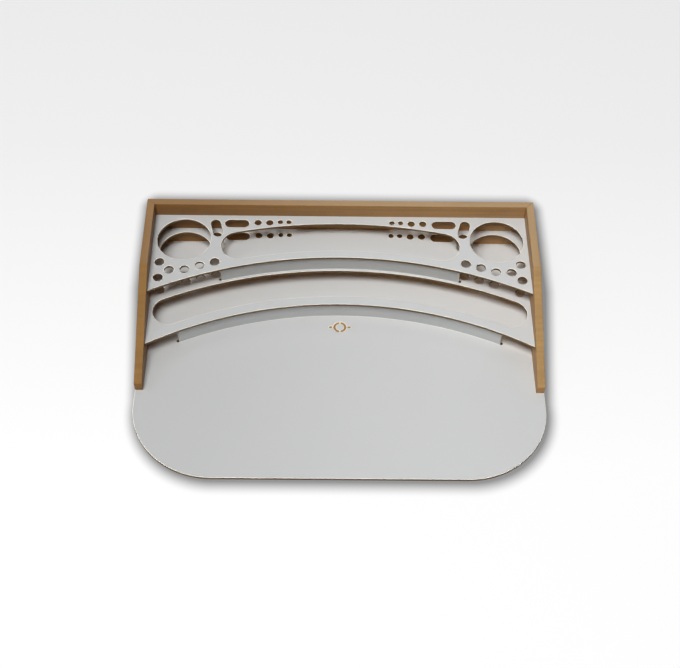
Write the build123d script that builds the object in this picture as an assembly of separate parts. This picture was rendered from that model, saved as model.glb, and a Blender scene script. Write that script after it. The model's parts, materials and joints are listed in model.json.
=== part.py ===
from build123d import *
import math
import os

# Hobby workstation organizer: a desk plate with a wall on three sides, two shelves with a concave
# front, and a curved upright strip under the front of each shelf. Both shelves have a long curved tray
# opening, and the same jar holes, tool holes and slots one above the other, mirrored left and right.
# Millimetres. The origin is the middle of the underside, +X to the right, +Y to the back, +Z up.

# Boards and walls
WIDTH = 400.0               # overall, left to right
DEPTH = 300.0               # overall, front to back
WALL = 8.0                  # thickness of the back wall and the side walls
BOARD = 3.0                 # thickness of base board and shelves, white face included
FACE = 0.3                  # thickness of the white face on boards and strips
FIT = 0.1                   # play on each side of what sits in a groove or hole
FRONT_CORNER = 80.0         # radius of the two front corners of the base board
BACK_CORNER = 1.5           # radius of the two back corners
EASE = 0.4                  # chamfer along the top edges of the walls

# Heights
LOWER_GAP = 18.0            # clear height between base board and lower shelf
UPPER_GAP = 17.0            # clear height between the shelves
RIM = 16.0                  # wall above the upper shelf
FRONT_END = 10.0            # height of the side walls at their front end, above the base board
FRONT_ROUND = 2.5           # rounding at the top of that end
SLOPE_ROUND = 8.0           # rounding where the flat top turns into the slope

# Front arcs and trays: all arcs have one centre on the middle line, in front of the object
UPPER_RADIUS = 427.0        # front edge of the upper shelf
UPPER_LIP = 9.0             # board in front of the upper tray opening
UPPER_TRAY = 36.7           # width of the upper tray opening
UPPER_TRAY_BACK = 10.3      # board behind that opening, on the middle line
LOWER_LIP = 10.5            # board in front of the lower tray opening
LOWER_TRAY = 33.5           # width of the lower tray opening
LOWER_TRAY_BACK = 1.0       # back of that opening in front of the upper shelf's front edge
WALL_RUNOUT = 40.7          # side wall in front of the lower shelf's front corner
FLAT_RUNOUT = 21.6          # flat wall top in front of which the slope starts, behind the upper corner

# Front strips
STRIP = 3.0                 # thickness, white face included
STRIP_SETBACK = 2.0         # front of a strip behind the edge of the shelf above it
STRIP_GROOVE = 1.0          # depth of the grooves that hold a strip
GROOVE_OVERRUN = 1.0        # groove past each end of its strip
LOWER_STRIP_END = 31.0      # end of the lower strip from the side wall
UPPER_STRIP_END = 6.4       # end of the upper strip from the last tool hole's centre

# Grooves for the shelves
SHELF_GROOVE = 3.0          # depth into the walls
SHELF_GROOVE_RUN = 0.5      # groove in front of the shelf's corner

# Holes
SIDE_WEB = 4.0              # board between the side wall and the outermost holes
BACK_WEB = 5.7              # board between the back wall and the back row of holes
JAR_HOLE = 55.0             # diameter
TOOL_HOLE = 10.0            # diameter
TOOL_WEB = 1.5              # board between the upper strip's groove side and the row of tool holes
TOOL_STAGGER = 10.2         # step to the side and to the back of the three corner holes
TOOL_JUMP = 28.0            # from the corner hole to the next one in the row, along the arc
TOOL_PITCH = 15.8           # between the holes of the row, along the arc
ROW_HOLES = 3               # holes in the row past the corner hole
MEDIUM_HOLE = 7.5           # diameter
SMALL_HOLE = 5.5            # diameter
SLOT_WIDTH = 10.5
LONG_SLOT = 25.0            # overall length of the slot along the back wall
SLANT_SLOT = 23.8           # overall length of the slanted slot
SLANT_ANGLE = 13.8          # degrees from the front to back direction, outwards at the back
SLANT_FROM_JAR = 32.7       # steps between centres along the back row, from the jar hole inwards
LONG_FROM_SLANT = 20.6
MEDIUM_FROM_LONG = 21.7
MEDIUM_PITCH = 12.0
SMALL_FROM_MEDIUM = 11.0
SMALL_PITCH = 9.0
TRAY_TIP_FROM_SLANT = 5.7   # end of the upper tray opening from the slanted slot's centre

# Engraved mark on the base board: two half rings between two bars
MARK_FROM_SHELF = 13.0      # centre of the mark in front of the lower shelf's edge
MARK_RING = 13.0            # outer diameter
MARK_LINE = 2.2             # width of rings and bars
MARK_GAP = 1.4              # between rings and bars
MARK_BRIDGE = 1.6           # white face left between the half rings
MARK_BAR = 3.0              # length of a bar
MARK_DEPTH = 0.5            # through the white face into the board

# Loose keys in the back mitres
KEY_THICK = 1.5
KEY_WIDTH = 4.0             # across the mitre, half in each wall
KEY_WEB = 0.4               # wall between the shelf grooves' corner and the key
KEY_STOP = 5.0              # wall below and above the key

# Countersunk wood screws through the base board into the walls
SCREW = 3.0                 # shank diameter
SCREW_HEAD = 5.6            # head diameter
SCREW_LENGTH = 15.5
SCREW_SINK = 0.2            # head below the underside
SCREW_TIP = 2.5             # length of the point
SCREW_EXTRA = 0.5           # drilled past the point
CROSS_WIDTH = 0.9           # arms of the drive
CROSS_SPAN = 3.4
CROSS_DEPTH = 1.0
BACK_SCREWS = 4
BACK_SCREW_MARGIN = 42.0    # first screw from the side wall
SIDE_SCREWS = 3
SIDE_SCREW_FRONT = 20.0     # first screw from the wall's front end
SIDE_SCREW_BACK = 32.0      # last screw from the back wall

# Worked out from the sizes above
half_width = WIDTH / 2
back_y = DEPTH / 2
inner_x = half_width - WALL
inner_y = back_y - WALL
lower_shelf_z = BOARD + LOWER_GAP
upper_shelf_z = lower_shelf_z + BOARD + UPPER_GAP
height = upper_shelf_z + BOARD + RIM
upper_front_y = inner_y - UPPER_TRAY_BACK - UPPER_TRAY - UPPER_LIP
arc_y = upper_front_y - UPPER_RADIUS
lower_radius = UPPER_RADIUS - LOWER_TRAY_BACK - LOWER_TRAY - LOWER_LIP
upper_strip_radius = UPPER_RADIUS + STRIP_SETBACK
lower_strip_radius = lower_radius + STRIP_SETBACK
tongue_x = inner_x + SHELF_GROOVE
tongue_y = inner_y + SHELF_GROOVE
jar_x = inner_x - SIDE_WEB - JAR_HOLE / 2
slant_x = jar_x - SLANT_FROM_JAR
long_x = slant_x - LONG_FROM_SLANT


def y_on_arc(radius, x):
    """Y at this X on the arc of this radius."""
    return arc_y + math.sqrt(radius**2 - x**2)


def slab(sketch, bottom, top):
    """The flat sketch as a plate from one height to another."""
    return extrude(Pos(0, 0, bottom) * sketch, amount=top - bottom, dir=(0, 0, 1))


def faced_board(sketch, bottom):
    """A board of this outline: its brown core and the white face on top."""
    seam = bottom + BOARD - FACE
    return slab(sketch, bottom, seam), slab(sketch, seam, bottom + BOARD)


def both_sides(sketch):
    """The right half of a pattern with its mirror image on the left."""
    return sketch + mirror(sketch, about=Plane.YZ)


# ---- outlines and openings ----

def base_outline():
    """The base board: large round corners in front, nearly square ones at the back."""
    plate = Rectangle(WIDTH, DEPTH)
    corners = plate.vertices().sort_by(Axis.Y)
    plate = fillet(corners[:2], FRONT_CORNER)
    return fillet(plate.vertices().sort_by(Axis.Y)[-2:], BACK_CORNER)


def shelf_outline(radius):
    """A shelf with its edges in the wall grooves: a rectangle behind a concave arc."""
    depth = tongue_y - arc_y
    plate = Pos(0, arc_y + depth / 2) * Rectangle(2 * tongue_x, depth)
    return plate - Pos(0, arc_y) * Circle(radius)


def tray_opening(front_radius, width, tip_x):
    """A curved slot with round ends that reaches this far to both sides."""
    middle = front_radius + width / 2
    angle = math.degrees(math.asin((tip_x - width / 2) / middle))
    return SlotArc(CenterArc((0, arc_y), middle, 90 - angle, 2 * angle), width)


def tool_points():
    """Right half: three staggered holes in the corner and a row along the arc."""
    row_radius = upper_strip_radius + STRIP + TOOL_WEB + TOOL_HOLE / 2
    corner_x = inner_x - SIDE_WEB - TOOL_HOLE / 2
    corner_y = y_on_arc(row_radius, corner_x)
    points = [
        (corner_x, corner_y),
        (corner_x - TOOL_STAGGER, corner_y + TOOL_STAGGER),
        (corner_x, corner_y + 2 * TOOL_STAGGER),
    ]
    for step in range(ROW_HOLES):
        walked = (TOOL_JUMP + step * TOOL_PITCH) / row_radius
        angle = math.asin(corner_x / row_radius) - walked
        points.append((row_radius * math.sin(angle), arc_y + row_radius * math.cos(angle)))
    return points


def back_row_holes():
    """Right half: two medium and two small holes, their edges in line along the back wall."""
    medium_x = long_x - MEDIUM_FROM_LONG
    small_x = medium_x - MEDIUM_PITCH - SMALL_FROM_MEDIUM
    row = [
        (medium_x, MEDIUM_HOLE),
        (medium_x - MEDIUM_PITCH, MEDIUM_HOLE),
        (small_x, SMALL_HOLE),
        (small_x - SMALL_PITCH, SMALL_HOLE),
    ]
    return [Pos(x, inner_y - BACK_WEB - size / 2) * Circle(size / 2) for x, size in row]


def slots():
    """Right half: one slot along the back wall and one slanted beside the jar hole."""
    end_y = inner_y - BACK_WEB - SLOT_WIDTH / 2
    slant_y = end_y - (SLANT_SLOT - SLOT_WIDTH) / 2 * math.cos(math.radians(SLANT_ANGLE))
    return [
        Pos(long_x, end_y) * SlotOverall(LONG_SLOT, SLOT_WIDTH),
        Pos(slant_x, slant_y) * SlotOverall(SLANT_SLOT, SLOT_WIDTH, rotation=90 - SLANT_ANGLE),
    ]


def hole_pattern():
    """Every hole that the two shelves share."""
    pattern = Pos(jar_x, inner_y - BACK_WEB - JAR_HOLE / 2) * Circle(JAR_HOLE / 2)
    pattern += [Pos(x, y) * Circle(TOOL_HOLE / 2) for x, y in tool_points()]
    pattern += back_row_holes()
    pattern += slots()
    return both_sides(pattern)


def arc_band(front_radius, thickness, end_x):
    """A strip seen from above: between two arcs, with its front corners at this X on both sides."""
    angle = math.degrees(math.asin(end_x / front_radius))
    front = CenterArc((0, arc_y), front_radius, 90 - angle, 2 * angle)
    back = CenterArc((0, arc_y), front_radius + thickness, 90 - angle, 2 * angle)
    return make_face([front, Line(front @ 0, back @ 0), back, Line(front @ 1, back @ 1)])


def strip_groove(front_radius, end_x):
    """The round-ended groove that a strip stands in, a little longer than the strip."""
    middle = front_radius + STRIP / 2
    angle = math.degrees(math.asin(end_x / front_radius) + GROOVE_OVERRUN / middle)
    return SlotArc(CenterArc((0, arc_y), middle, 90 - angle, 2 * angle), STRIP + 2 * FIT)


def engraved_mark():
    """Two half rings with a short bar on each side, on the middle line of the base board."""
    ring = Circle(MARK_RING / 2) - Circle(MARK_RING / 2 - MARK_LINE)
    ring -= Rectangle(MARK_BRIDGE, MARK_RING)
    bar_x = MARK_RING / 2 + MARK_GAP + MARK_BAR / 2
    bars = [Pos(side * bar_x, 0) * Rectangle(MARK_BAR, MARK_LINE) for side in (-1, 1)]
    centre_y = y_on_arc(lower_radius, 0) - MARK_FROM_SHELF
    return Pos(0, centre_y) * (ring + bars)


# ---- strips ----

lower_strip_x = inner_x - LOWER_STRIP_END
upper_strip_x = tool_points()[-1][0] - UPPER_STRIP_END
lower_groove = strip_groove(lower_strip_radius, lower_strip_x)
upper_groove = strip_groove(upper_strip_radius, upper_strip_x)


def front_strip(radius, end_x, floor_z, gap):
    """The core of an upright strip and its white face, with a tongue below and above."""
    bottom = floor_z - STRIP_GROOVE + FIT
    top = floor_z + gap + STRIP_GROOVE - FIT
    face = slab(arc_band(radius, FACE, end_x), bottom, top)
    whole = slab(arc_band(radius, STRIP, end_x), bottom, top)
    return whole - face, face


# ---- screws ----

def side_corner_y(radius):
    """Y where a shelf's front edge meets the side wall."""
    return y_on_arc(radius, inner_x)


wall_front_y = side_corner_y(lower_radius) - WALL_RUNOUT


def spread(first, last, count):
    """Evenly spaced places from the first to the last."""
    return [first + (last - first) * k / (count - 1) for k in range(count)]


def screw_points():
    """All screws, on the middle line of each wall."""
    end_x = inner_x - BACK_SCREW_MARGIN
    points = [(x, back_y - WALL / 2) for x in spread(-end_x, end_x, BACK_SCREWS)]
    for y in spread(wall_front_y + SIDE_SCREW_FRONT, inner_y - SIDE_SCREW_BACK, SIDE_SCREWS):
        points += [(side * (half_width - WALL / 2), y) for side in (-1, 1)]
    return points


def screw_body(play):
    """A screw's outside from its head up, made larger all round by some play."""
    head = SCREW_HEAD / 2 + play
    shank = SCREW / 2 + play
    neck_z = SCREW_SINK + head - shank
    tip_z = SCREW_SINK + SCREW_LENGTH
    profile = Polyline(
        (0, SCREW_SINK), (head, SCREW_SINK), (shank, neck_z), (shank, tip_z - SCREW_TIP), (0, tip_z),
        close=True,
    )
    return revolve(make_face(Plane.XZ * profile), Axis.Z)


def wood_screw():
    """A screw with its cross drive."""
    arm = Pos(0, 0, SCREW_SINK + CROSS_DEPTH / 2) * Box(CROSS_SPAN, CROSS_WIDTH, CROSS_DEPTH)
    return screw_body(0) - arm - Rot(0, 0, 90) * arm


def screw_hole():
    """What a screw needs in board and wall, open at the underside."""
    mouth = Pos(0, 0, SCREW_SINK / 2) * Cylinder(SCREW_HEAD / 2 + FIT, SCREW_SINK)
    depth = SCREW_LENGTH + SCREW_EXTRA
    bore = Pos(0, 0, SCREW_SINK + depth / 2) * Cylinder(SCREW / 2 + FIT, depth)
    return mouth + screw_body(FIT) + bore


screw_holes = [Pos(x, y) * screw_hole() for x, y in screw_points()]


# ---- walls ----

def shelf_slot(floor_z, radius):
    """The grooves of one shelf in all three walls, as one block."""
    front = y_on_arc(radius, tongue_x) - SHELF_GROOVE_RUN
    back = tongue_y + FIT
    size = Box(2 * (tongue_x + FIT), back - front, BOARD + 2 * FIT)
    return Pos(0, (front + back) / 2, floor_z + BOARD / 2) * size


def corner_key(play):
    """The loose key across the right back mitre, behind the shelf grooves' corner."""
    groove_corner = (SHELF_GROOVE + FIT) * math.sqrt(2)
    along = (groove_corner + KEY_WEB + KEY_THICK / 2) / math.sqrt(2)
    tall = height - BOARD - 2 * KEY_STOP
    blank = Box(KEY_THICK + 2 * play, KEY_WIDTH + 2 * play, tall + 2 * play)
    return Pos(inner_x + along, inner_y + along, (height + BOARD) / 2) * Rot(0, 0, 45) * blank


wall_cuts = [
    shelf_slot(lower_shelf_z, lower_radius),
    shelf_slot(upper_shelf_z, UPPER_RADIUS),
    corner_key(FIT),
    mirror(corner_key(FIT), about=Plane.YZ),
] + screw_holes
footprint = slab(base_outline(), BOARD, height)


def side_profile():
    """A side wall from the side: flat top, then a straight slope down to a low front end."""
    slope_y = side_corner_y(UPPER_RADIUS) + FLAT_RUNOUT
    end_z = BOARD + FRONT_END
    outline = Polyline(
        (wall_front_y, BOARD), (wall_front_y, end_z), (slope_y, height), (back_y, height), (back_y, BOARD),
        close=True,
    )
    face = make_face(Plane.YZ * outline)
    face = fillet(face.vertices().filter_by(lambda v: abs(v.Y - slope_y) < EASE), SLOPE_ROUND)
    front_top = face.vertices().sort_by(Axis.Y)[:2].sort_by(Axis.Z)[-1]
    return fillet(front_top, FRONT_ROUND)


def eased(wall, across):
    """The wall with a small chamfer along both sides of its top."""
    ends = wall.faces().sort_by(across)
    sides = ends[0].edges() + ends[-1].edges()
    level = sides.filter_by(lambda e: e.bounding_box().max.Z > BOARD + FRONT_END / 2)
    top = level.filter_by(lambda e: not (e.bounding_box().size.Y < EASE and e.bounding_box().size.X < EASE))
    return chamfer(top, EASE)


def right_wall():
    """The right side wall, mitred at the back."""
    blank = eased(extrude(Pos(inner_x, 0, 0) * side_profile(), amount=WALL, dir=(1, 0, 0)), Axis.X)
    plan = Polyline(
        (inner_x, inner_y), (half_width, back_y), (half_width, wall_front_y), (inner_x, wall_front_y),
        close=True,
    )
    return (blank & slab(make_face(plan), BOARD, height) & footprint) - wall_cuts


def rear_wall():
    """The back wall, mitred at both ends."""
    middle_z = (height + BOARD) / 2
    blank = Pos(0, back_y - WALL / 2, middle_z) * Box(WIDTH, WALL, height - BOARD)
    plan = Polyline(
        (-inner_x, inner_y), (inner_x, inner_y), (half_width, back_y), (-half_width, back_y),
        close=True,
    )
    return (eased(blank, Axis.Y) & slab(make_face(plan), BOARD, height) & footprint) - wall_cuts


# ---- boards ----

def base_pair():
    """Base board and its white face, with the lower strip's groove, the mark and the screw holes."""
    core, face = faced_board(base_outline(), 0)
    cuts = [
        slab(lower_groove, BOARD - STRIP_GROOVE, BOARD),
        slab(engraved_mark(), BOARD - MARK_DEPTH, BOARD),
    ] + screw_holes
    return core - cuts, face - cuts


def lower_shelf_pair():
    """Lower shelf and its white face, with the lower tray and the grooves of both strips."""
    tray = tray_opening(lower_radius + LOWER_LIP, LOWER_TRAY, inner_x - SIDE_WEB)
    outline = shelf_outline(lower_radius) - tray - hole_pattern()
    core, face = faced_board(outline, lower_shelf_z)
    top = lower_shelf_z + BOARD
    under = slab(lower_groove, lower_shelf_z, lower_shelf_z + STRIP_GROOVE)
    over = slab(upper_groove, top - STRIP_GROOVE, top)
    return core - under - over, face - over


def upper_shelf_pair():
    """Upper shelf and its white face, with the upper tray and a groove below."""
    tray = tray_opening(UPPER_RADIUS + UPPER_LIP, UPPER_TRAY, slant_x - TRAY_TIP_FROM_SLANT)
    outline = shelf_outline(UPPER_RADIUS) - tray - hole_pattern()
    core, face = faced_board(outline, upper_shelf_z)
    return core - slab(upper_groove, upper_shelf_z, upper_shelf_z + STRIP_GROOVE), face


base_board, base_facing = base_pair()
lower_shelf, lower_shelf_facing = lower_shelf_pair()
upper_shelf, upper_shelf_facing = upper_shelf_pair()
lower_front_strip, lower_strip_facing = front_strip(
    lower_strip_radius, lower_strip_x, BOARD, LOWER_GAP
)
upper_front_strip, upper_strip_facing = front_strip(
    upper_strip_radius, upper_strip_x, lower_shelf_z + BOARD, UPPER_GAP
)
right_side_wall = right_wall()
right_corner_key = corner_key(0)

nodes = {
    "base_board": base_board,
    "base_facing": base_facing,
    "back_wall": rear_wall(),
    "left_side_wall": mirror(right_side_wall, about=Plane.YZ),
    "right_side_wall": right_side_wall,
    "lower_shelf": lower_shelf,
    "lower_shelf_facing": lower_shelf_facing,
    "upper_shelf": upper_shelf,
    "upper_shelf_facing": upper_shelf_facing,
    "lower_front_strip": lower_front_strip,
    "lower_strip_facing": lower_strip_facing,
    "upper_front_strip": upper_front_strip,
    "upper_strip_facing": upper_strip_facing,
    "left_corner_key": mirror(right_corner_key, about=Plane.YZ),
    "right_corner_key": right_corner_key,
    "wall_screws": Compound([Pos(x, y) * wood_screw() for x, y in screw_points()]),
}

os.makedirs("parts", exist_ok=True)
for name, shape in nodes.items():
    export_step(shape, f"parts/{name}.step")
    print(f"{name}: {len(shape.solids())} solid(s), {shape.volume:.0f} mm3")
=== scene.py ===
# %% [markdown]
# # A hobby workstation organizer, dressed for its photograph
#
# The real object is a desk plate of thin fibreboard with a white melamine face. A thicker, raw
# fibreboard wall stands on three of its sides and carries two white shelves with concave fronts.
# Curved upright strips close the space under each shelf. Everything is cut by a machine and glued.
# The solids arrive finished and at their real size. This script gives them soft edges, a finish for
# every surface, a floor, lamps and the photograph's camera. All lengths are in metres.

import json
import math

import bmesh
import bpy
import numpy as np
from mathutils import Matrix


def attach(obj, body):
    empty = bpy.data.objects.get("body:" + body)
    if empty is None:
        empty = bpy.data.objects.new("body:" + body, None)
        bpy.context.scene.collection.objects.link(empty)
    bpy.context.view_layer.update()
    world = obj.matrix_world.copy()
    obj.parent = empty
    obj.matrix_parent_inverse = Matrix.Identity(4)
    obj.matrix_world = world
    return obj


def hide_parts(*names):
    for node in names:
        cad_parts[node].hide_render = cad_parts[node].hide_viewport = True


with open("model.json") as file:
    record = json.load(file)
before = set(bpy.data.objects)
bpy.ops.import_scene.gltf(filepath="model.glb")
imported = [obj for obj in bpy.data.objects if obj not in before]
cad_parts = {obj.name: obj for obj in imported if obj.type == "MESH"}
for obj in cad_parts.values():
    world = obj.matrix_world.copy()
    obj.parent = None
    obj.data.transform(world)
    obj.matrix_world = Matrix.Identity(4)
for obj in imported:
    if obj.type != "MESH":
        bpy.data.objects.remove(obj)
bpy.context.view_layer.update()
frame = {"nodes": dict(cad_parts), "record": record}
MM = 0.001
PLATE_X, PLATE_Y = 200 * MM, 150 * MM        # half the plate's width and half its depth
print("solids:", sorted(frame["nodes"]))

# %% [markdown]
# ## The photograph's camera
# A camera can be set by eye, but this object has straight edges, circles and concentric arcs of known
# shape, so the camera's place was solved from the picture. It stands in front of the plate, a metre
# up, and looks down at about 53 degrees. It is turned and tilted by about one degree, which is why
# the back wall runs slightly downhill, and its long lens keeps the side walls nearly parallel. The
# three angles become one rotation, built from its rows: right, down and forward in the picture.

# %% Camera
CAMERA_PLACE = (-11.84 * MM, -759.7 * MM, 1026.0 * MM)
CAMERA_DOWN, CAMERA_TURN, CAMERA_TILT = (math.radians(a) for a in (52.713, -0.880, -1.189))
SENSOR = 36.0                 # width of the film, in mm
PHOTO_WIDTH = 680.0
FOCAL_PIXELS = 1272.2         # the focal length, in pixels of the photograph
NEAREST, FARTHEST = 0.05, 50.0


def camera_axes():
    """Rows right, down and forward: turn about Z, then look down about X, then tilt about the view."""
    c, s = math.cos(CAMERA_TURN), math.sin(CAMERA_TURN)
    turn = np.array([[c, s, 0], [-s, c, 0], [0, 0, 1]])
    c, s = math.cos(CAMERA_DOWN), math.sin(CAMERA_DOWN)
    down = np.array([[1, 0, 0], [0, -s, -c], [0, c, -s]])
    c, s = math.cos(CAMERA_TILT), math.sin(CAMERA_TILT)
    tilt = np.array([[c, s, 0], [-s, c, 0], [0, 0, 1]])
    return tilt @ down @ turn


def add_camera():
    """A camera object looks along its own -Z with +Y up, so down and forward change sign."""
    data = bpy.data.cameras.new("photo_camera")
    data.sensor_width = SENSOR
    data.lens = FOCAL_PIXELS * SENSOR / PHOTO_WIDTH
    data.clip_start, data.clip_end = NEAREST, FARTHEST
    camera = bpy.data.objects.new("photo_camera", data)
    bpy.context.scene.collection.objects.link(camera)
    right, lower, forward = camera_axes()
    pose = np.eye(4)
    pose[:3, :3] = np.column_stack([right, -lower, -forward])
    pose[:3, 3] = CAMERA_PLACE
    camera.matrix_world = Matrix(pose.tolist())
    bpy.context.scene.camera = camera
    return camera


camera = add_camera()
print("lens", round(camera.data.lens, 2), "mm")

# %% [markdown]
# ## Small tools for building shader trees
# A material is a graph of nodes. It could be drawn by hand in the editor, but written down it can be
# read, compared and changed. A few helpers keep that short: one adds a node and fills its inputs,
# where a value that is itself a socket becomes a link, and one opens a group with named inputs and
# outputs, so that the same effect can be set into several materials.

# %% Nodes and their arithmetic


def fill(tree, made, inputs):
    """Fill a node's inputs by name or number. A value that is itself a socket becomes a link."""
    for key, value in inputs.items():
        if isinstance(value, bpy.types.NodeSocket):
            tree.links.new(value, made.inputs[key])
        else:
            made.inputs[key].default_value = value
    return made


def add(tree, kind, inputs=None, **settings):
    """Add a node of this kind, with its settings, and fill its inputs."""
    made = tree.nodes.new("ShaderNode" + kind)
    for name, value in settings.items():
        setattr(made, name, value)
    return fill(tree, made, inputs or {})


def math_node(tree, operation, *values):
    """The result of one arithmetic step on numbers or sockets."""
    return add(tree, "Math", dict(enumerate(values)), operation=operation).outputs[0]


def remap(tree, value, low, high, to_low, to_high, smooth=True):
    """Lead a value from one range to another, held at both ends, and eased there when smooth."""
    kind = "SMOOTHSTEP" if smooth else "LINEAR"
    ranges = {0: value, 1: low, 2: high, 3: to_low, 4: to_high}
    return add(tree, "MapRange", ranges, interpolation_type=kind).outputs[0]


def object_place(tree):
    """A point's place in metres, in the shared frame, and its three numbers."""
    place = add(tree, "TexCoord").outputs["Object"]
    return place, add(tree, "SeparateXYZ", {0: place}).outputs


def facing_of(tree):
    """The three numbers of the direction that a point's surface faces."""
    return add(tree, "SeparateXYZ", {0: add(tree, "NewGeometry").outputs["Normal"]}).outputs


# %% Colours, groups and finishes
NOISE_SPAN = (0.3, 0.7)       # nearly all values of a noise lie between these


def blend(tree, factor, first, second, mode="MIX"):
    """Mix two colours: the factor leads from the first to the second."""
    return add(tree, "Mix", {0: factor, 6: first, 7: second}, data_type="RGBA", blend_type=mode).outputs[2]


def grey(tree, tone):
    """A tone as a colour."""
    return add(tree, "CombineColor", {0: tone, 1: tone, 2: tone}).outputs[0]


def tinted(tree, colour, tone):
    """A colour made lighter or darker by a tone around 1."""
    return blend(tree, 1.0, colour, grey(tree, tone), mode="MULTIPLY")


def open_group(name, inputs, outputs):
    """An empty node group. inputs maps names to default numbers, outputs lists names of numbers."""
    group = bpy.data.node_groups.new(name, "ShaderNodeTree")
    for key, value in inputs.items():
        socket = group.interface.new_socket(key, in_out="INPUT", socket_type="NodeSocketFloat")
        socket.default_value = value
    for key in outputs:
        group.interface.new_socket(key, in_out="OUTPUT", socket_type="NodeSocketFloat")
    return group, group.nodes.new("NodeGroupInput"), group.nodes.new("NodeGroupOutput")


def place_group(tree, group, inputs):
    """Set a group into a tree with its own input values."""
    made = tree.nodes.new("ShaderNodeGroup")
    made.node_tree = group
    return fill(tree, made, inputs).outputs


def new_material(name):
    """An empty material with its tree and its Principled shader."""
    material = bpy.data.materials.new(name)
    material.use_nodes = True
    tree = material.node_tree
    return material, tree, tree.nodes["Principled BSDF"]


def lay_finish(tree, shader, colour, height, roughness, relief):
    """Set the colour, a roughness that follows the height, and the height as relief (strength, depth)."""
    tree.links.new(colour, shader.inputs["Base Color"])
    tree.links.new(remap(tree, height, *NOISE_SPAN, *roughness), shader.inputs["Roughness"])
    bump = add(tree, "Bump", {"Strength": relief[0], "Distance": relief[1], "Height": height})
    tree.links.new(bump.outputs[0], shader.inputs["Normal"])


# %% [markdown]
# ## The floor
# The photograph was cut out onto a white page that turns faintly grey towards the top, with a soft
# dark shadow rim round the object. Lamps alone would need much trial to give that, so the floor carries
# both in its colour: a grey that grows with the distance to the back, and a painted shadow, a dark rim
# that follows the base plate's outline. The outline is a box with round corners, and the distance to
# it has a short formula: fold the plane to one quarter, go to the corner's centre, and take the length
# of what sticks out, minus the radius. For rays from the camera the floor also glows, so that its white
# reaches the page's white while the object gets no extra light. The floor lies a hair under the
# plate, because two surfaces in one plane flicker, and it is clear from below, so that the underside
# can be looked at.

# %% Floor mesh
FLOOR_SIZE = 12.0
FLOOR_CELLS = 24
FLOOR_Z = -0.2 * MM


def grid_mesh(name, points):
    """Quads from an array of shape (rows, columns, 3), facing the way that rows x columns turns."""
    rows, columns = points.shape[:2]
    index = np.arange(rows * columns).reshape(rows, columns)
    corners = [index[:-1, :-1], index[:-1, 1:], index[1:, 1:], index[1:, :-1]]
    quads = np.stack(corners, axis=-1).reshape(-1, 4)
    mesh = bpy.data.meshes.new(name)
    mesh.from_pydata(points.reshape(-1, 3).tolist(), [], quads.tolist())
    return mesh


steps = np.linspace(-FLOOR_SIZE / 2, FLOOR_SIZE / 2, FLOOR_CELLS + 1)
floor_y, floor_x = np.meshgrid(steps, steps, indexing="ij")
floor_points = np.stack([floor_x, floor_y, np.full_like(floor_x, FLOOR_Z)], axis=-1)
floor = bpy.data.objects.new("floor", grid_mesh("floor", floor_points))
bpy.context.scene.collection.objects.link(floor)
print("floor faces:", len(floor.data.polygons))

# %% The painted shadow rim on the floor
RIM_FROM, RIM_TO = -6.8 * MM, 13.2 * MM      # the rim fades out between these distances
RIM_LEAST, RIM_DEEPEST = 0.06, 0.30          # it fades up from the first, never under the second
RIM_SHIFT = (2.2 * MM, -2.0 * MM)
RIM_FLATTENED = 0.20                         # the rim is narrower across the picture's height
FRONT_CORNER = 80 * MM
BACK_REACH, BACK_CORNER = 206 * MM, 12 * MM
WIDENING = (-60 * MM, 80 * MM, 12 * MM)      # from here to there on Y the rim moves out by this much
NOT_ZERO = 1e-9                              # keeps a division from failing


def corner_distance(tree, across, along, reach, corner):
    """Distance to a box with round corners: |max(p - half + r, 0)| - r, shorter along Y."""
    sides = [math_node(tree, "MAXIMUM", math_node(tree, "SUBTRACT", value, half - corner), 0.0)
             for value, half in ((across, PLATE_X), (along, reach))]
    squares = [math_node(tree, "MULTIPLY", side, side) for side in sides]
    whole = math_node(tree, "MAXIMUM", math_node(tree, "ADD", *squares), NOT_ZERO)
    out = math_node(tree, "SUBTRACT", math_node(tree, "SQRT", whole), corner)
    share = math_node(tree, "DIVIDE", squares[1], whole)
    shorter = math_node(tree, "SUBTRACT", 1.0, math_node(tree, "MULTIPLY", share, RIM_FLATTENED))
    return math_node(tree, "MULTIPLY", out, shorter)


def painted_shadow_rim(tree, x, y):
    """The painted shadow rim: it hugs the plate in front and widens behind the tall walls."""
    x = math_node(tree, "ABSOLUTE", math_node(tree, "SUBTRACT", x, RIM_SHIFT[0]))
    y = math_node(tree, "SUBTRACT", y, RIM_SHIFT[1])
    start, end, wider = WIDENING
    across = math_node(tree, "SUBTRACT", x, remap(tree, y, start, end, 0.0, wider, smooth=False))
    ahead = math_node(tree, "MULTIPLY", y, -1.0)
    front = corner_distance(tree, across, ahead, PLATE_Y, FRONT_CORNER)
    back = corner_distance(tree, across, y, BACK_REACH, BACK_CORNER)
    tone = remap(tree, math_node(tree, "MAXIMUM", front, back), RIM_FROM, RIM_TO, RIM_LEAST, 1.0)
    return math_node(tree, "MAXIMUM", tone, RIM_DEEPEST)


# %% Floor finish
PAGE_TONES = ((-0.130, 1.0), (0.290, 0.880), (0.560, 0.858))     # (place on Y, tone)
FLOOR_REPLY = 0.80            # what the floor gives back to the object
FLOOR_SHOWN = 0.16            # the part of the page's tone that the lamps light
FLOOR_GLOW = 0.86             # the part that glows for the camera


def page_tone(tree, y):
    """The page's tone along Y: straight runs between the listed places."""
    tone = PAGE_TONES[0][1]
    for (y0, tone0), (y1, tone1) in zip(PAGE_TONES, PAGE_TONES[1:]):
        run = remap(tree, y, y0, y1, 0.0, tone1 - tone0, smooth=False)
        tone = math_node(tree, "ADD", tone, run)
    return tone


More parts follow.
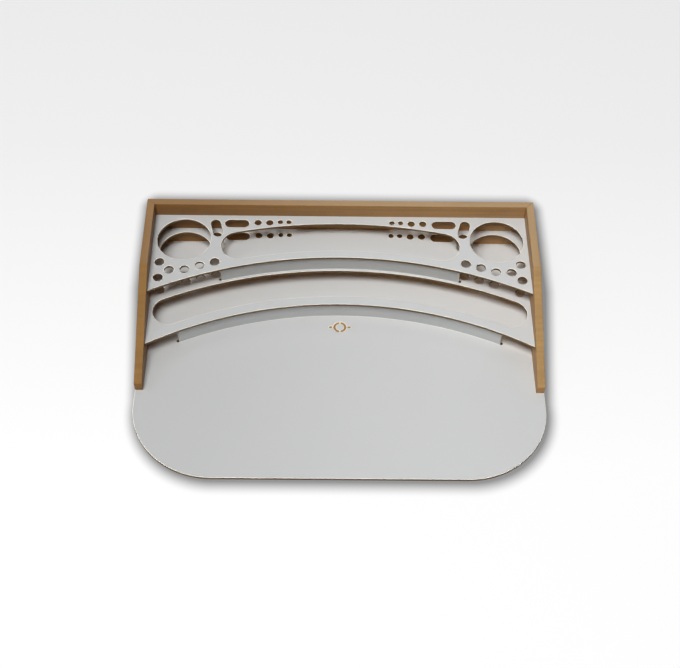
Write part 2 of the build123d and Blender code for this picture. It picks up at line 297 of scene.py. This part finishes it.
def floor_material():
    """White page with a grey far end and a painted shadow rim round the plate, clear from below."""
    material, tree, shader = new_material("studio_floor")
    tree.nodes.remove(shader)
    _, (x, y, _z) = object_place(tree)
    # the page's tone times the painted shadow rim
    seen = grey(tree, math_node(tree, "MULTIPLY", page_tone(tree, y), painted_shadow_rim(tree, x, y)))
    plain = add(tree, "BsdfDiffuse", {"Color": (FLOOR_REPLY,) * 3 + (1,)}).outputs[0]
    shown = add(tree, "BsdfDiffuse", {"Color": tinted(tree, seen, FLOOR_SHOWN)}).outputs[0]
    glow = add(tree, "Emission", {"Color": seen, "Strength": FLOOR_GLOW}).outputs[0]
    bright = add(tree, "AddShader", {0: shown, 1: glow}).outputs[0]
    rays = add(tree, "LightPath").outputs
    direct = math_node(tree, "MAXIMUM", rays["Is Camera Ray"], rays["Is Glossy Ray"])
    direct = math_node(tree, "MAXIMUM", direct, rays["Is Transmission Ray"])
    mixed = add(tree, "MixShader", {0: direct, 1: plain, 2: bright}).outputs[0]
    behind = add(tree, "NewGeometry").outputs["Backfacing"]
    clear = add(tree, "BsdfTransparent").outputs[0]
    sided = add(tree, "MixShader", {0: behind, 1: mixed, 2: clear}).outputs[0]
    tree.links.new(sided, tree.nodes["Material Output"].inputs["Surface"])
    return material


floor.data.materials.append(floor_material())
print("page tones:", PAGE_TONES)

# %% [markdown]
# ## Light
# In the picture soft light falls from in front and the left, so the faces that look to the right and
# the space under the shelves are darker. One broad lamp, high in front on the left, gives most of it.
# A low, weak lamp in front keeps the upright strips from going black, and another weak one lifts the
# left side. The right wall and the right end of the back wall also carry a pale sheen. A strong lamp
# that lit and shone at once would bleach the white faces before it gave that sheen. So these three
# lamps light the surfaces without showing in their gloss, and a fourth one, behind, shows in the
# gloss alone. The room adds a glow low round the sides, and to the camera it is a plain pale.

# %% Room
SKY_LIGHT = 0.03              # what comes from everywhere
SKY_GLOW = 0.40               # what comes from low round the sides and the back
SKY_SEEN = 0.85               # what the camera sees
GLOW_HEIGHT = (0.45, 0.05)    # the glow sets in as a direction sinks from here to here
GLOW_TURN = (-0.75, -0.15)    # and as it turns from the camera's side towards the back


def studio_world():
    """A dim room with a soft glow low round the sides and the back, away from the camera."""
    world = bpy.data.worlds.new("studio")
    world.use_nodes = True
    tree = world.node_tree
    way = add(tree, "SeparateXYZ", {0: add(tree, "TexCoord").outputs["Generated"]}).outputs
    low = remap(tree, way["Z"], *GLOW_HEIGHT, 0.0, SKY_GLOW)
    sides = remap(tree, way["Y"], *GLOW_TURN, 0.0, 1.0)
    sky = math_node(tree, "ADD", math_node(tree, "MULTIPLY", low, sides), SKY_LIGHT)
    rays = add(tree, "LightPath").outputs
    strength = add(tree, "Mix", {0: rays["Is Camera Ray"], 2: sky, 3: SKY_SEEN}).outputs[0]
    tree.links.new(strength, tree.nodes["Background"].inputs["Strength"])
    tree.nodes["Background"].inputs["Color"].default_value = (1, 1, 1, 1)
    return world


bpy.context.scene.world = studio_world()
bpy.context.scene.view_settings.view_transform = "Standard"
print("room:", bpy.context.scene.world.name)

# %% Lamps
LAMPS = (
    # name, place, width and depth, power, lights surfaces, shows in gloss
    ("overhead_lamp", (-0.38, -0.66, 2.02), (1.00, 0.80), 37.0, True, False),
    ("front_lamp", (-0.40, -2.35, 0.42), (1.60, 0.40), 2.4, True, False),
    ("side_lamp", (-2.10, 0.10, 2.10), (1.40, 1.40), 9.0, True, False),
    ("sheen_lamp", (0.25, 1.90, 2.35), (1.20, 1.20), 50.0, False, True),
)


def soft_lamp(name, place, extent, power):
    """A flat lamp that looks at the plate's middle: tipped by atan(flat / height), then turned."""
    data = bpy.data.lights.new(name, "AREA")
    data.shape, data.energy = "RECTANGLE", power
    data.size, data.size_y = extent
    lamp = bpy.data.objects.new(name, data)
    bpy.context.scene.collection.objects.link(lamp)
    lamp.location = place
    x, y, height = place
    lamp.rotation_euler = (math.atan2(math.hypot(x, y), height), 0, math.atan2(x, -y))
    return lamp


for name, place, extent, power, lights, shines in LAMPS:
    lamp = soft_lamp(name, place, extent, power)
    lamp.visible_diffuse, lamp.visible_glossy = lights, shines
print("lamps:", [row[0] for row in LAMPS])

# %% [markdown]
# ## Fibreboard
# Fibreboard is wood ground to fibre and pressed. Near by it shows a dense fleck of light and dark
# fibres, and from a step away soft clouds a few centimetres wide. A photograph of board could be
# laid over it, but it would repeat and blur. Noise doesn't, so both are noise, at two scales, in one
# group that gives a tone for the colour and a height for the relief. The group reads the place in
# metres, which makes every number in it a real size.

# %% Fibre group
FIBRE_SIZES = {"Cloud Size": 0.03, "Cloud Depth": 0.06, "Fleck Size": 0.0012, "Fleck Depth": 0.18}
FIBRE_NOISES = (              # name, detail, roughness, distortion
    ("Cloud", 3.0, 0.55, 0.0),
    ("Fleck", 4.0, 0.70, 0.6),
)


def fibre_group():
    """Tone is 1 plus twice the sum of (noise - 0.5) x depth, height is the fleck noise, 0 to 1."""
    group, given, result = open_group("fibre", FIBRE_SIZES, ("Tone", "Height"))
    place, _ = object_place(group)
    swings = []
    for name, detail, roughness, distortion in FIBRE_NOISES:
        scale = math_node(group, "DIVIDE", 1.0, given.outputs[name + " Size"])
        noise = add(group, "TexNoise", {
            "Vector": place, "Scale": scale, "Detail": detail, "Roughness": roughness,
            "Distortion": distortion,
        }).outputs[0]
        swing = math_node(group, "SUBTRACT", noise, 0.5)
        swings.append(math_node(group, "MULTIPLY", swing, given.outputs[name + " Depth"]))
    both = math_node(group, "MULTIPLY", 2.0, math_node(group, "ADD", *swings))
    group.links.new(math_node(group, "ADD", both, 1.0), result.inputs["Tone"])
    group.links.new(noise, result.inputs["Height"])
    return group


fibre = fibre_group()
print("fibre group:", len(fibre.nodes), "nodes")

# %% [markdown]
# ## The walls
# The walls are thick raw fibreboard, sanded and sealed to a satin. The picture shows long thin layers
# along their faces, a lighter brown where the board was cut, and walls that are darker and redder at
# the left than at the right. The layers could be lines drawn along each wall. A noise that is
# stretched flat gives them on every wall at once. Two tints that blend along X make the walls darker
# and redder to the left; the paler, bluer tint at the right also paints in part of the sheen there.
# Faces that look sideways are darkened, a painted shade. The mitre is a thin dark line of glue where
# two walls meet at 45 degrees.

# %% Wall finish
WALL_BROWN = (0.480, 0.260, 0.090, 1)
WALL_CUT = (0.480, 0.282, 0.102, 1)          # the looser fibre inside the board, where it is cut
WALL_TOP = (0.55, 0.85)                      # how far up a surface faces, from face to cut
WALL_SIDE, PAINTED_SIDE_SHADE = (0.5, 0.9), 0.80      # painted shade: what faces sideways is a little darker
WALL_FIBRE = {"Cloud Size": 0.035, "Cloud Depth": 0.10, "Fleck Depth": 0.20}
WALL_GLOSS, WALL_ROUGH, WALL_RELIEF = 0.35, (0.44, 0.58), (0.35, 0.08 * MM)
LAYERS = (6.0, 6.0, 420.0)                   # makes a noise's spots 170 mm long and 2 mm high
LAYER_TONES = (0.89, 1.11)
MITRE_GLUE = (0.16, 0.085, 0.03, 1)
MITRE_FADE = (0.10 * MM, 0.35 * MM)          # full up to here beside the joint, gone there
# darker and redder to the left; the paler, bluer tint at the right is partly a painted sheen
WALL_TINT_LEFT, WALL_TINT_RIGHT_AND_SHEEN = (0.61, 0.53, 0.40, 1), (1.02, 1.04, 1.14, 1)
WALL_TINT_SPAN = (-PLATE_X, 0.6 * PLATE_X)


def mitre_line(tree, x, y):
    """1 where | |x| - y - (half width - half depth) | is small: the glued 45 degree joint."""
    across = math_node(tree, "SUBTRACT", math_node(tree, "ABSOLUTE", x), y)
    across = math_node(tree, "SUBTRACT", across, PLATE_X - PLATE_Y)
    return remap(tree, math_node(tree, "ABSOLUTE", across), *MITRE_FADE, 1.0, 0.0)


def layer_tone(tree, place):
    """Flat layers: a noise of the place, pressed flat in height."""
    lying = add(tree, "Mapping", {"Vector": place, "Scale": LAYERS}).outputs[0]
    noise = add(tree, "TexNoise", {"Vector": lying, "Scale": 1.0, "Detail": 2.0, "Roughness": 0.6})
    return remap(tree, noise.outputs[0], *NOISE_SPAN, *LAYER_TONES, smooth=False)


def wall_material():
    """Raw fibreboard: face or cut colour x painted side shade x layers x fibre x left-right tint (partly
    painted sheen), then the glue.
    """
    material, tree, shader = new_material("fibreboard_wall")
    place, (x, y, _z) = object_place(tree)
    facing = facing_of(tree)
    grain = place_group(tree, fibre, WALL_FIBRE)
    colour = blend(tree, remap(tree, facing["Z"], *WALL_TOP, 0.0, 1.0), WALL_BROWN, WALL_CUT)
    # painted shade: faces that look sideways are darkened
    sideways = math_node(tree, "ABSOLUTE", facing["X"])
    colour = tinted(tree, colour, remap(tree, sideways, *WALL_SIDE, 1.0, PAINTED_SIDE_SHADE))
    colour = tinted(tree, tinted(tree, colour, layer_tone(tree, place)), grain["Tone"])
    # left-to-right tint: darker and redder to the left, partly a painted sheen at the right
    board = blend(tree, remap(tree, x, *WALL_TINT_SPAN, 0.0, 1.0), WALL_TINT_LEFT, WALL_TINT_RIGHT_AND_SHEEN)
    colour = blend(tree, 1.0, colour, board, mode="MULTIPLY")
    colour = blend(tree, mitre_line(tree, x, y), colour, MITRE_GLUE)
    shader.inputs["Specular IOR Level"].default_value = WALL_GLOSS
    lay_finish(tree, shader, colour, grain["Height"], WALL_ROUGH, WALL_RELIEF)
    return material


materials = {"fibreboard_wall": wall_material()}
print("wall finish:", len(materials["fibreboard_wall"].node_tree.nodes), "nodes")

# %% [markdown]
# ## The thin boards' core
# The base, the shelves and the strips are thin dense board. At a cut the cutter has browned it, but
# right under the white skin a pale line stays, made brighter than the white face: partly a painted
# highlight. The underside is plain brown board, and the bottom of the engraving on the base shows
# fresh fibre. Each could be a material of its own on picked faces.
# One material is simpler, because the height in the board and the way a surface faces already tell
# them apart.

# %% Core finish
CORE_CUT = (0.180, 0.112, 0.052, 1)          # the cut edge, browned
CORE_PALE_HIGHLIGHT = (0.900, 0.780, 0.580, 1)         # the pale line at its top, brighter than the white: partly a painted highlight
CORE_FLAT = (0.560, 0.290, 0.105, 1)         # the plain underside
CORE_FRESH = (0.420, 0.235, 0.085, 1)        # fresh fibre on the floor of the engraving
CORE_BURNT = (0.040, 0.024, 0.016, 1)        # the bottom of the narrow grooves
PALE_SPAN = (2.50 * MM, 2.80 * MM)           # heights in a board between which the pale line sets in
CORE_UNDER, CORE_UP = (-0.35, -0.75), (0.6, 0.9)     # how far down, or up, a surface faces
CORE_FIBRE = {"Cloud Depth": 0.12, "Fleck Depth": 0.30, "Fleck Size": 0.0009}
CORE_ROUGH, CORE_RELIEF = (0.60, 0.74), (0.4, 0.08 * MM)
MARK_FROM, MARK_TO = (-14 * MM, 18 * MM), (14 * MM, 38 * MM)
BOARD_FLOORS = (0.0, 21 * MM, 41 * MM)
BOARD_SLACK = 1 * MM


def height_in_board(tree, z):
    """A point's height in its own board: z minus the floor of the highest board that it reaches."""
    height = z
    for lower, upper in zip(BOARD_FLOORS, BOARD_FLOORS[1:]):
        reached = math_node(tree, "GREATER_THAN", z, upper - BOARD_SLACK)
        step = math_node(tree, "MULTIPLY", reached, upper - lower)
        height = math_node(tree, "SUBTRACT", height, step)
    return height


def inside_box(tree, x, y, low, high):
    """1 inside a box seen from above, 0 outside."""
    signs = [math_node(tree, "GREATER_THAN", value, edge) for value, edge in zip((x, y), low)]
    signs += [math_node(tree, "LESS_THAN", value, edge) for value, edge in zip((x, y), high)]
    product = signs[0]
    for sign in signs[1:]:
        product = math_node(tree, "MULTIPLY", product, sign)
    return product


def core_material():
    """Dense brown core: cut and pale line (partly a painted highlight) by height, the underside and the
    floors by the way they face.
    """
    material, tree, shader = new_material("fibreboard_core")
    _, (x, y, z) = object_place(tree)
    facing = facing_of(tree)
    under = remap(tree, facing["Z"], *CORE_UNDER, 0.0, 1.0)
    upwards = remap(tree, facing["Z"], *CORE_UP, 0.0, 1.0)
    grain = place_group(tree, fibre, CORE_FIBRE)
    pale = remap(tree, height_in_board(tree, z), *PALE_SPAN, 0.0, 1.0)
    # the pale line at the top of a cut is brighter than the white face: partly a painted highlight
    colour = blend(tree, under, blend(tree, pale, CORE_CUT, CORE_PALE_HIGHLIGHT), CORE_FLAT)
    floor_colour = blend(tree, inside_box(tree, x, y, MARK_FROM, MARK_TO), CORE_BURNT, CORE_FRESH)
    colour = tinted(tree, blend(tree, upwards, colour, floor_colour), grain["Tone"])
    lay_finish(tree, shader, colour, grain["Height"], CORE_ROUGH, CORE_RELIEF)
    return material


materials["fibreboard_core"] = core_material()
print("core finish:", len(materials["fibreboard_core"].node_tree.nodes), "nodes")

# %% [markdown]
# ## The white faces
# The faces are melamine: satin, with a faint orange peel. Plain white would look like paper, so three
# small changes are laid over it, all painted light: the white is darker towards the left, a painted
# shade; upright faces such as the strips are darker, a painted shade; and what the shelves cover is
# paler, painted light that lifts the shade there. Along each cut the skin is sanded thin and turns to
# cream, brighter than the white, so the line is partly a painted highlight. That line could be
# painted by hand. Here it is read from a value named rim that the mesh carries, which the step on
# soft edges makes.

# %% White face finish
ARC_Y = -341 * MM                            # every arc turns about this point on the middle line
FACE_WHITE = (0.66, 0.67, 0.665, 1)
# cream of the sanded skin, brighter than the white: partly a painted highlight
CREAM_AND_HIGHLIGHT = (0.95, 0.90, 0.80, 1)
# painted shade: the white is darker towards the left
LEFT_SHADE_SPAN, LEFT_SHADE_TONES = (-PLATE_X, 0.8 * PLATE_X), (0.87, 1.06)
UPRIGHT_SHADE_TONE, STRIP_UPRIGHT = 0.91, (0.3, 0.6)     # painted shade on upright faces such as the strips, by how little they face up
UNDER_SHELF_LIGHT = (                                # painted light under the shelves: from this radius, below this height, paler by
    (382 * MM, 12 * MM, 0.10),
    (427 * MM, 30 * MM, 0.04),
)
UNDER_SHELF_FADE = 4 * MM
FACE_PEEL = {"Cloud Size": 0.08, "Cloud Depth": 0.012, "Fleck Size": 0.0022, "Fleck Depth": 0.012}
FACE_GLOSS, FACE_ROUGH, FACE_RELIEF = 0.2, (0.44, 0.52), (0.25, 0.02 * MM)


def painted_under_shelf_light(tree, x, y, z):
    """Painted light: 1, and more where the radius about the arcs' centre is past a shelf's edge and z is
    under it.
    """
    down = math_node(tree, "SUBTRACT", y, ARC_Y)
    squares = math_node(tree, "MULTIPLY", x, x), math_node(tree, "MULTIPLY", down, down)
    radius = math_node(tree, "SQRT", math_node(tree, "ADD", *squares))
    tone = 1.0
    for start, below, paler in UNDER_SHELF_LIGHT:
        past = remap(tree, radius, start, start + UNDER_SHELF_FADE, 0.0, paler)
        inside = math_node(tree, "MULTIPLY", past, math_node(tree, "LESS_THAN", z, below))
        tone = math_node(tree, "ADD", tone, inside)
    return tone


def face_material():
    """White x peel x painted shade (left and upright) x painted light under the shelves, and cream with a
    painted highlight where the rim value says so.
    """
    material, tree, shader = new_material("white_face")
    peel = place_group(tree, fibre, FACE_PEEL)
    _, (x, y, z) = object_place(tree)
    # painted shade: darker towards the left
    painted_tone = remap(tree, x, *LEFT_SHADE_SPAN, *LEFT_SHADE_TONES)
    # painted shade on upright faces
    flatness = math_node(tree, "ABSOLUTE", facing_of(tree)["Z"])
    upright = remap(tree, flatness, *STRIP_UPRIGHT, 1.0, 0.0)
    to_upright_shade = math_node(tree, "MULTIPLY", upright, math_node(tree, "SUBTRACT", UPRIGHT_SHADE_TONE, painted_tone))
    painted_tone = math_node(tree, "ADD", painted_tone, to_upright_shade)
    # painted light that lifts the shade under the shelves
    painted_tone = math_node(tree, "MULTIPLY", painted_tone, painted_under_shelf_light(tree, x, y, z))
    white = tinted(tree, FACE_WHITE, math_node(tree, "MULTIPLY", peel["Tone"], painted_tone))
    rim = add(tree, "Attribute", attribute_name="rim").outputs["Fac"]
    shader.inputs["Specular IOR Level"].default_value = FACE_GLOSS
    # the cream along each cut is partly a painted highlight
    colour = blend(tree, rim, white, CREAM_AND_HIGHLIGHT)
    lay_finish(tree, shader, colour, peel["Height"], FACE_ROUGH, FACE_RELIEF)
    return material


materials["white_face"] = face_material()
print("face finish:", len(materials["white_face"].node_tree.nodes), "nodes")

# %% [markdown]
# ## Keys and screws
# Two beech keys hold the mitres, and ten zinc-plated screws hold the walls from below. Beech has
# short dark flecks along its fibre: a noise stretched upwards, like the key. Zinc plating is bright
# where it is whole and dull where it is worn, so the same group of clouds and flecks, made small,
# mixes two greys of a metal.

# %% Key and screw finishes
BEECH, BEECH_FLECK = (0.42, 0.26, 0.13, 1), (0.27, 0.14, 0.06, 1)
BEECH_STRETCH, BEECH_SIZE = (1.0, 1.0, 0.12), 1.1 * MM
FLECK_SPAN = (0.52, 0.66)                    # noise values between which a fleck sets in
BEECH_ROUGH, BEECH_RELIEF = (0.5, 0.62), (0.3, 0.05 * MM)
ZINC, ZINC_WORN = (0.62, 0.60, 0.55, 1), (0.36, 0.34, 0.31, 1)
WORN_SPAN = (0.96, 1.12)                     # tones between which the plating is worn
ZINC_WEAR = {"Cloud Size": 0.0025, "Cloud Depth": 0.20, "Fleck Size": 0.0004, "Fleck Depth": 0.15}
ZINC_ROUGH, ZINC_RELIEF = (0.26, 0.44), (0.2, 0.02 * MM)


def beech_material():
    """Beech: short dark flecks, stretched along the upright key."""
    material, tree, shader = new_material("beech")
    place, _ = object_place(tree)
    stretched = add(tree, "Mapping", {"Vector": place, "Scale": BEECH_STRETCH}).outputs[0]
    noise = add(tree, "TexNoise", {"Vector": stretched, "Scale": 1.0 / BEECH_SIZE, "Detail": 3.0})
    flecks = noise.outputs[0]
    colour = blend(tree, remap(tree, flecks, *FLECK_SPAN, 0.0, 1.0), BEECH, BEECH_FLECK)
    lay_finish(tree, shader, colour, flecks, BEECH_ROUGH, BEECH_RELIEF)
    return material


def zinc_material():
    """Zinc-plated steel: bright, with dull worn patches."""
    material, tree, shader = new_material("zinc_steel")
    wear = place_group(tree, fibre, ZINC_WEAR)
    colour = blend(tree, remap(tree, wear["Tone"], *WORN_SPAN, 0.0, 1.0), ZINC, ZINC_WORN)
    shader.inputs["Metallic"].default_value = 1.0
    lay_finish(tree, shader, colour, wear["Height"], ZINC_ROUGH, ZINC_RELIEF)
    return material


materials["beech"] = beech_material()
materials["zinc_steel"] = zinc_material()
print("finishes:", sorted(materials))

# %% [markdown]
# ## Dress the solids
# The record that came with the solids names a material slot for each of them, so no list is written
# here: each solid looks its slot up and takes the finish of that name.

# %% Finishes on the solids
slot_of = {row["node"]: row["material_slot"] for row in frame["record"]["subparts"]}
for name, node in frame["nodes"].items():
    node.data.materials.clear()
    node.data.materials.append(materials[slot_of[name]])
print("slots:", slot_of)

# %% [markdown]
# ## Soft edges
# A cut edge of the real board is never knife sharp: the white skin is sanded through along its rim,
# and a pale line of fibre shows there. A bevel would round the holes' edges too, but it splits badly
# on faces with many holes. So each solid is copied, its loose triangles are merged, and the flat
# faces are joined again. Then rings are walked inwards from every border of the flat face, also round
# every hole, and the outer rings are let down a little. The rings carry the value named rim, which
# the white finish reads: 1 on the rounded edge, fading to 0 less than a millimetre inside. There the
# finish lays a cream line, partly the sanded skin and partly a painted highlight.

# %% Soft edge maker
RIM_RINGS = ((0.26 * MM, 0.25 * MM), (0.16 * MM, 0.03 * MM), (0.28 * MM, 0.0))     # step in, let down
BENDS_UNDER = math.radians(48)               # a sharper bend than this keeps its edge in the shading
MERGED_WITHIN, LEVEL_WITHIN = 1e-6, 1e-5
JOINED_UNDER = 0.002                         # faces that differ by less than this angle are one
FACES_UP = 0.99


def flat_faces(shape, height, sign):
    """The faces that lie at this height and look up (sign 1) or down (sign -1)."""
    return [face for face in shape.faces if face.normal.z * sign > FACES_UP
            and abs(face.calc_center_median().z - height) < LEVEL_WITHIN]


def walk_rings(shape, height, sign, groove):
    """Inset the flat faces ring by ring, let each ring's outer points down and mark them as rim.

    Points between the groove's two radii about the arcs' centre stay, because a strip stands there.
    """
    rim = shape.verts.layers.float["rim"]
    flat = flat_faces(shape, height, sign)
    for step, drop in RIM_RINGS:
        ring = bmesh.ops.inset_region(
            shape, faces=flat, thickness=step, use_boundary=True, use_even_offset=True)["faces"]
        inside = {point for face in flat for point in face.verts}
        for point in {point for face in ring for point in face.verts} - inside:
            if not groove[0] < math.hypot(point.co.x, point.co.y - ARC_Y) < groove[1]:
                point[rim] = 1.0
                point.co.z -= sign * drop


def soft_copy(node_name, upwards=(), downwards=(), groove=(0.0, 0.0), join_faces=True):
    """A merged copy of a solid whose flat faces at the given heights get a rounded, marked rim.

    Joining is turned off for a flat face that comes out badly filled, as under the plate.
    """
    shape = bmesh.new()
    shape.from_mesh(frame["nodes"][node_name].data)
    bmesh.ops.remove_doubles(shape, verts=shape.verts, dist=MERGED_WITHIN)
    if join_faces:
        bmesh.ops.dissolve_limit(
            shape, angle_limit=JOINED_UNDER, verts=shape.verts, edges=shape.edges, delimit={"NORMAL"})
    shape.verts.layers.float.new("rim")
    for heights, sign in ((upwards, 1), (downwards, -1)):
        for height in heights:
            walk_rings(shape, height, sign, groove)
    mesh = bpy.data.meshes.new(node_name + "_soft")
    shape.to_mesh(mesh)
    shape.free()
    mesh.shade_smooth()
    mesh.set_sharp_from_angle(angle=BENDS_UNDER)
    mesh.materials.append(materials[slot_of[node_name]])
    piece = bpy.data.objects.new(node_name + "_soft", mesh)
    bpy.context.scene.collection.objects.link(piece)
    piece.modifiers.new("even_shading", "WEIGHTED_NORMAL").keep_sharp = True
    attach(piece, "root")
    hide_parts(node_name)
    print(piece.name, len(mesh.polygons), "faces")
    return piece


# %% [markdown]
# ## The soft copies
# The white faces are rounded on top, the boards underneath, where their edges show. On the base and
# the lower shelf the rim stops at the groove in which a strip stands. Walls, strips, keys and screws
# keep their shape: the rounding that a hand feels there is finer than a picture shows, so for them a
# clean copy with even shading is enough.

# %% Boards and faces
BASE_TOP, LOWER_TOP, UPPER_TOP = 3 * MM, 24 * MM, 44 * MM
BOARD = 3 * MM
LOWER_GROOVE = (383.5 * MM, 387.5 * MM)
UPPER_GROOVE = (428.5 * MM, 432.5 * MM)

soft_copy("base_facing", upwards=[BASE_TOP], groove=LOWER_GROOVE)
soft_copy("lower_shelf_facing", upwards=[LOWER_TOP], groove=UPPER_GROOVE)
soft_copy("upper_shelf_facing", upwards=[UPPER_TOP])
soft_copy("base_board", downwards=[0.0], join_faces=False)
soft_copy("lower_shelf", downwards=[LOWER_TOP - BOARD])
soft_copy("upper_shelf", downwards=[UPPER_TOP - BOARD])

# %% Walls, strips, keys and screws
for name in ("back_wall", "left_side_wall", "right_side_wall", "lower_front_strip", "upper_front_strip",
             "lower_strip_facing", "upper_strip_facing", "left_corner_key", "right_corner_key",
             "wall_screws"):
    soft_copy(name)
